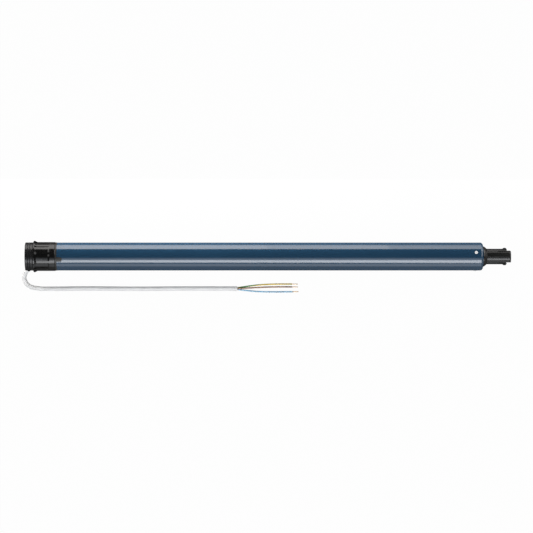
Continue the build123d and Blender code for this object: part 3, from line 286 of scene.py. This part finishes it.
def core_start(degrees):
    """Where a wire leaves the sheath, by its angle round the cable's middle."""
    a = math.radians(degrees)
    x, y = CABLE_END
    middle_z = floor_z(x / 1000) * 1000 + CABLE_R
    return mm(x, y + CORE_ORBIT * math.cos(a), middle_z + CORE_ORBIT * math.sin(a))


CABLE = [
    mm(8.6, -15.6, -9.6),
    mm(-5.6, -28.6, -20.6),
    on_floor(0.2, -46.8, CABLE_R),
    on_floor(16.4, -51.9, CABLE_R),
    on_floor(43, -52.3, CABLE_R),
    on_floor(94, -51.5, CABLE_R),
    on_floor(176, -52.3, CABLE_R),
    on_floor(262, -51.6, CABLE_R),
    on_floor(342, -51.9, CABLE_R),
]
EARTH = [
    core_start(-30),
    on_floor(366.0, -46.8, CORE_R),
    on_floor(398.4, -44.4, CORE_R),
    on_floor(430.5, -44.6, CORE_R),
]
LIVE = [
    core_start(90),
    on_floor(366.4, -50.6, CORE_R),
    on_floor(398.6, -49.0, CORE_R),
    on_floor(430.5, -49.2, CORE_R),
]
NEUTRAL = [
    core_start(210),
    on_floor(366.8, -56.6, CORE_R),
    on_floor(399.2, -57.4, CORE_R),
    on_floor(431.4, -57.0, CORE_R),
]


def nurbs(name, points):
    data = bpy.data.curves.new(name, "CURVE")
    data.dimensions = "3D"
    data.resolution_u = 12
    spline = data.splines.new("NURBS")
    spline.points.add(len(points) - 1)
    for p, at in zip(spline.points, points):
        p.co = (*at, 1)
    spline.order_u = 3
    spline.use_endpoint_u = True
    return data


def carried(name, data, shade):
    """An object on the motor's own body, in this material."""
    data.materials.append(shade.m)
    o = add(name, data)
    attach(o, "motor")
    return o


def cord(name, points, radius, shade):
    data = nurbs(name, points)
    data.bevel_depth = radius / 1000
    data.bevel_resolution = 6
    data.use_fill_caps = True
    return carried(name, data, shade)


def middle_line(points):
    """Points along the cord's own line, read from a curve with no thickness."""
    data = nurbs("line", points)
    o = bpy.data.objects.new("line", data)
    mesh = bpy.data.meshes.new_from_object(o)
    line = [v.co.copy() for v in mesh.vertices]
    bpy.data.objects.remove(o)
    bpy.data.curves.remove(data)
    bpy.data.meshes.remove(mesh)
    return line


# The bared end of a wire: six strands round one, in metres.
TIP_LEN = 0.0096
TIP_R = 0.00075
STRANDS = 7
STRAND_R = 0.00026
STRAND_SIDES = 8
STRAND_STEPS = 14
STRAND_ROOT = 0.0012
STRAND_TURN_DEG = 200
UNEVEN_CUT = 0.0009
LOOSE_SHARE = 0.12
LOOSE_PHASE = 2.3


def strands(name, points, shade):
    """Fine wires laid up in a slow twist, cut off a little unevenly."""
    line = middle_line(points)
    way = (line[-1] - line[-2]).normalized()
    side = way.cross(Vector((0, 0, 1))).normalized()
    up = side.cross(way)

    def round_way(angle):
        return side * math.cos(angle) + up * math.sin(angle)

    verts, faces = [], []
    for k in range(STRANDS):
        orbit = 0 if k == STRANDS - 1 else TIP_R - STRAND_R
        reach = TIP_LEN - UNEVEN_CUT * ((k * 5) % STRANDS) / STRANDS
        first = len(verts)
        for i in range(STRAND_STEPS + 1):
            s = -STRAND_ROOT + (reach + STRAND_ROOT) * i / STRAND_STEPS
            turn = math.radians(360 / (STRANDS - 1) * k + STRAND_TURN_DEG * s / TIP_LEN)
            loose = 1 + LOOSE_SHARE * max(s, 0) / TIP_LEN * math.sin(LOOSE_PHASE * k)
            middle = line[-1] + way * s + round_way(turn) * orbit * loose
            for j in range(STRAND_SIDES):
                verts.append(middle + round_way(2 * math.pi * j / STRAND_SIDES) * STRAND_R)
        for i in range(STRAND_STEPS):
            row = first + i * STRAND_SIDES
            for j in range(STRAND_SIDES):
                a, b = row + j, row + (j + 1) % STRAND_SIDES
                faces.append((a, b, b + STRAND_SIDES, a + STRAND_SIDES))
        faces.append(tuple(first + STRAND_STEPS * STRAND_SIDES + j for j in range(STRAND_SIDES)))
    mesh = bpy.data.meshes.new(name)
    mesh.from_pydata([tuple(v) for v in verts], [], faces)
    mesh.update()
    for f in mesh.polygons:
        f.use_smooth = True
    return carried(name, mesh, shade)


camera()
sheath = pvc("sheath_pvc", (0.8, 0.795, 0.785), (0.85, 0.845, 0.835), 0.45, scatter=0.0)
copper = metal("tinned_copper", (0.62, 0.42, 0.24), (0.86, 0.66, 0.42), 0.32, (0.2, 1, 1), 1500)
brown = pvc("brown_pvc", (0.3, 0.17, 0.11), (0.42, 0.26, 0.18))
blue = pvc("blue_pvc", (0.22, 0.44, 0.7), (0.32, 0.55, 0.8))
cable = cord("power_lead", CABLE, CABLE_R, sheath)
cores = {
    "earth": cord("earth_core", EARTH, CORE_R, earth_pvc()),
    "live": cord("live_core", LIVE, CORE_R, brown),
    "neutral": cord("neutral_core", NEUTRAL, CORE_R, blue),
}
tips = {
    "earth": strands("earth_strands", EARTH, copper),
    "live": strands("live_strands", LIVE, copper),
    "neutral": strands("neutral_strands", NEUTRAL, copper),
}

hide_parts("power_cable")
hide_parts("core_earth")
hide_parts("core_live")
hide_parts("core_neutral")
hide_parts("wire_tips")

# Each material of the solids, with the nodes that wear it.
GEARS = ["carrier_1", "carrier_2", "carrier_3"] + [f"planet_{stage}{pin}" for stage in "123" for pin in "abc"]
WEARS = [
    (lacquer(), ["motor_tube"]),
    (glazed("crown_plastic", (0.0025, 0.0025, 0.0025), (0.0038, 0.0038, 0.0038), 0.3, 0.029, 0.14,
            depth=0.000004, spread=0.04), ["crown"]),
    (glazed("head_plastic", (0.006, 0.006, 0.0064), (0.01, 0.01, 0.0104), 0.4, 0.023, 0.26,
            depth=0.00003), ["head_housing"]),
    (glazed("collar_plastic", (0.026, 0.025, 0.023), (0.038, 0.036, 0.033), 0.46, 0.017, 0.3,
            depth=0.00003), ["tube_plug", "pinion_bracket"]),
    (glazed("bearing_plastic", (0.004, 0.0035, 0.0033), (0.007, 0.006, 0.0055), 0.3, 0.03, 0.13,
            depth=0.000008, spread=0.05), ["end_bearing"]),
    (glazed("drive_plastic", (0.009, 0.0093, 0.009), (0.014, 0.0144, 0.014), 0.4, 0.024, 0.16),
     ["drive_shaft", "cable_grommet", "cable_clamp", "program_button"]),
    (metal("rivet_alloy", (0.66, 0.66, 0.65), (0.8, 0.8, 0.79), 0.5, metallic=0.3), ["tube_rivets"]),
    (metal("bright_steel", (0.5, 0.5, 0.5), (0.75, 0.75, 0.76), 0.28),
     ["plug_screws", "drive_screw", "shaft_bearings", "motor_shaft", "brake_springs"]),
    (metal("gear_steel", (0.3, 0.3, 0.31), (0.52, 0.52, 0.54), 0.38), GEARS),
    (molded("ring_plastic", (0.62, 0.6, 0.55), (0.74, 0.72, 0.67), 0.42),
     ["ring_gear", "gearbox_flange", "circuit_tray", "capacitor_cradle", "travel_pinion"]),
    (metal("bronze", (0.4, 0.26, 0.11), (0.62, 0.43, 0.2), 0.4), ["output_bush"]),
    (metal("lamination", (0.2, 0.2, 0.21), (0.4, 0.4, 0.42), 0.42, (40, 1, 1), 60, 0.0001),
     ["stator_core", "rotor_core"]),
    (metal("cast_alloy", (0.45, 0.46, 0.48), (0.68, 0.69, 0.71), 0.45),
     ["rear_shield", "front_shield", "rotor_cage"]),
    (metal("winding_copper", (0.5, 0.24, 0.1), (0.75, 0.42, 0.2), 0.35, (1, 0.2, 0.2), 1200),
     ["stator_windings"]),
    (metal("brake_steel", (0.3, 0.3, 0.32), (0.5, 0.5, 0.52), 0.4),
     ["brake_coil", "brake_armature", "brake_plate"]),
    (molded("brake_lining", (0.06, 0.055, 0.05), (0.12, 0.11, 0.1), 0.85, depth=0.0001), ["brake_disc"]),
    (molded("board_laminate", (0.02, 0.16, 0.07), (0.05, 0.27, 0.13), 0.35),
     ["circuit_board", "button_switch"]),
    (molded("part_plastic", (0.05, 0.05, 0.06), (0.1, 0.1, 0.12), 0.4),
     ["board_relays", "board_bridge", "board_transformer", "board_capacitors", "board_radio"]),
    (molded("terminal_plastic", (0.06, 0.36, 0.14), (0.1, 0.48, 0.2), 0.4), ["board_terminals"]),
    (molded("capacitor_plastic", (0.7, 0.7, 0.68), (0.82, 0.82, 0.8), 0.4), ["run_capacitor"]),
    (molded("lead_pvc", (0.7, 0.7, 0.7), (0.8, 0.8, 0.8), 0.45), ["inner_leads"]),
]
for shade, names in WEARS:
    for name in names:
        for slot in nodes[name].material_slots:
            slot.material = shade.m

# The studio: a round floor, far off a low white wall around it, and a dim white world.
MIDDLE_X = 0.39
STAGE_SIDES = 96
STAGE_REACH = 9.0
WALL_TOP = 4.6
WORLD_STRENGTH = 0.1
PAPER_ROUGH = 0.9
PAPER_SPECULAR = 0.2
WARM = (1.03, 0.99, 0.96)
COOL = (0.95, 1.0, 1.07)
PALE = (0.99, 1.0, 1.02)

# Soft boxes along the motor: distance from its axis (negative on the -Y side), the angles of both
# edges from straight up, length, radiance, tint and the middle's place along the motor. The first
# three are one box in pieces, which get dimmer towards the drive.
FAN_BOXES = [
    ("side_box", 0.13, 59.5, 104, 0.62, 4.5, WARM, 0.08),
    ("side_box_2", 0.13, 59.5, 104, 0.2, 3.7, WARM, 0.49),
    ("side_box_3", 0.13, 59.5, 104, 0.4, 2.6, WARM, 0.79),
    ("streak_box", -4.0, 32.5, 56.5, 2.1, 6.3, PALE, MIDDLE_X),
    ("glow_box", -4.1, 11, 50, 2.1, 0.95, COOL, MIDDLE_X),
    ("haze_box", -4.15, 22, 40, 2.1, 1.2, COOL, MIDDLE_X),
    ("fill_box", -3.6, 62, 89, 2.0, 1.0, COOL, MIDDLE_X),
]
# Two soft boxes off both ends, which light the cable's side towards the tube.
END_BOXES = [
    ("left_box", (-2.0, 1.2, 1.7)),
    ("right_box", (2.8, 1.2, 1.7)),
]
END_BOX_SIZE = 2.5
END_BOX_RADIANCE = 1.8
END_BOX_AIM = (MIDDLE_X, -0.02, 0)


def paper(name, camera_share, mirror_share, tone):
    """White paper: the shares are how much of it is plain white to the camera and in mirrors."""
    m = bpy.data.materials.new(name)
    m.use_nodes = True
    t = m.node_tree
    p = t.nodes["Principled BSDF"]
    p.inputs["Base Color"].default_value = (tone, tone, tone, 1)
    p.inputs["Roughness"].default_value = PAPER_ROUGH
    p.inputs["Specular IOR Level"].default_value = PAPER_SPECULAR
    white = t.nodes.new("ShaderNodeEmission")
    white.inputs["Strength"].default_value = 1.0
    rays = t.nodes.new("ShaderNodeLightPath")
    total = None
    for ray, share in (("Is Camera Ray", camera_share), ("Is Glossy Ray", mirror_share),
                       ("Is Transmission Ray", camera_share)):
        part = t.nodes.new("ShaderNodeMath")
        part.operation = "MULTIPLY"
        part.inputs[1].default_value = share
        t.links.new(rays.outputs[ray], part.inputs[0])
        if total is None:
            total = part.outputs[0]
            continue
        most = t.nodes.new("ShaderNodeMath")
        most.operation = "MAXIMUM"
        t.links.new(total, most.inputs[0])
        t.links.new(part.outputs[0], most.inputs[1])
        total = most.outputs[0]
    mixer = t.nodes.new("ShaderNodeMixShader")
    t.links.new(total, mixer.inputs[0])
    t.links.new(p.outputs[0], mixer.inputs[1])
    t.links.new(white.outputs[0], mixer.inputs[2])
    t.links.new(mixer.outputs[0], t.nodes["Material Output"].inputs["Surface"])
    return m


def stage_piece(name, verts, faces, material):
    mesh = bpy.data.meshes.new(name)
    mesh.from_pydata(verts, [], faces)
    mesh.materials.append(material)
    o = add(name, mesh)


def stage():
    n = STAGE_SIDES
    turns = [2 * math.pi * i / n for i in range(n)]
    ring = [(MIDDLE_X + STAGE_REACH * math.cos(a), STAGE_REACH * math.sin(a)) for a in turns]
    low = [(x, y, floor_z(x)) for x, y in ring]
    high = [(x, y, WALL_TOP) for x, y in ring]
    sides = [(i, (i + 1) % n, n + (i + 1) % n, n + i) for i in range(n)]
    stage_piece("floor", low, [tuple(range(n))], paper("floor_paper", 0.98, 0.45, 0.42))
    stage_piece("wall", low + high, sides, paper("wall_paper", 1.0, 0.9, 0.8))


def world():
    studio = bpy.data.worlds.new("studio")
    scene.world = studio
    studio.use_nodes = True
    back = studio.node_tree.nodes["Background"]
    back.inputs["Color"].default_value = (1, 1, 1, 1)
    back.inputs["Strength"].default_value = WORLD_STRENGTH


def soft_box(name, at, target, size, radiance, tint=EVEN):
    data = bpy.data.lights.new(name, "AREA")
    data.shape = "RECTANGLE"
    data.size, data.size_y = size
    data.energy = radiance * math.pi * size[0] * size[1]
    data.color = tint
    o = add(name, data)
    o.visible_camera = False
    z = (Vector(at) - Vector(target)).normalized()
    along = Vector((0, 1, 0)) if abs(z.x) > 0.5 else Vector((1, 0, 0))
    y = z.cross(along).normalized()
    x = y.cross(z)
    o.matrix_world = Matrix([[x[i], y[i], z[i], at[i]] for i in range(3)] + [[0, 0, 0, 1]])


def fan_box(name, reach, low, high, length, radiance, tint, middle_x):
    a, b = math.radians(low), math.radians(high)
    near = Vector((0, reach * math.sin(a), abs(reach) * math.cos(a)))
    far = Vector((0, reach * math.sin(b), abs(reach) * math.cos(b)))
    middle = Vector((middle_x, 0, 0))
    soft_box(name, (near + far) / 2 + middle, middle, (length, (near - far).length), radiance, tint)


stage()
world()
for box in FAN_BOXES:
    fan_box(*box)
for name, at in END_BOXES:
    soft_box(name, at, END_BOX_AIM, (END_BOX_SIZE, END_BOX_SIZE), END_BOX_RADIANCE)
scene.view_settings.view_transform = "Standard"
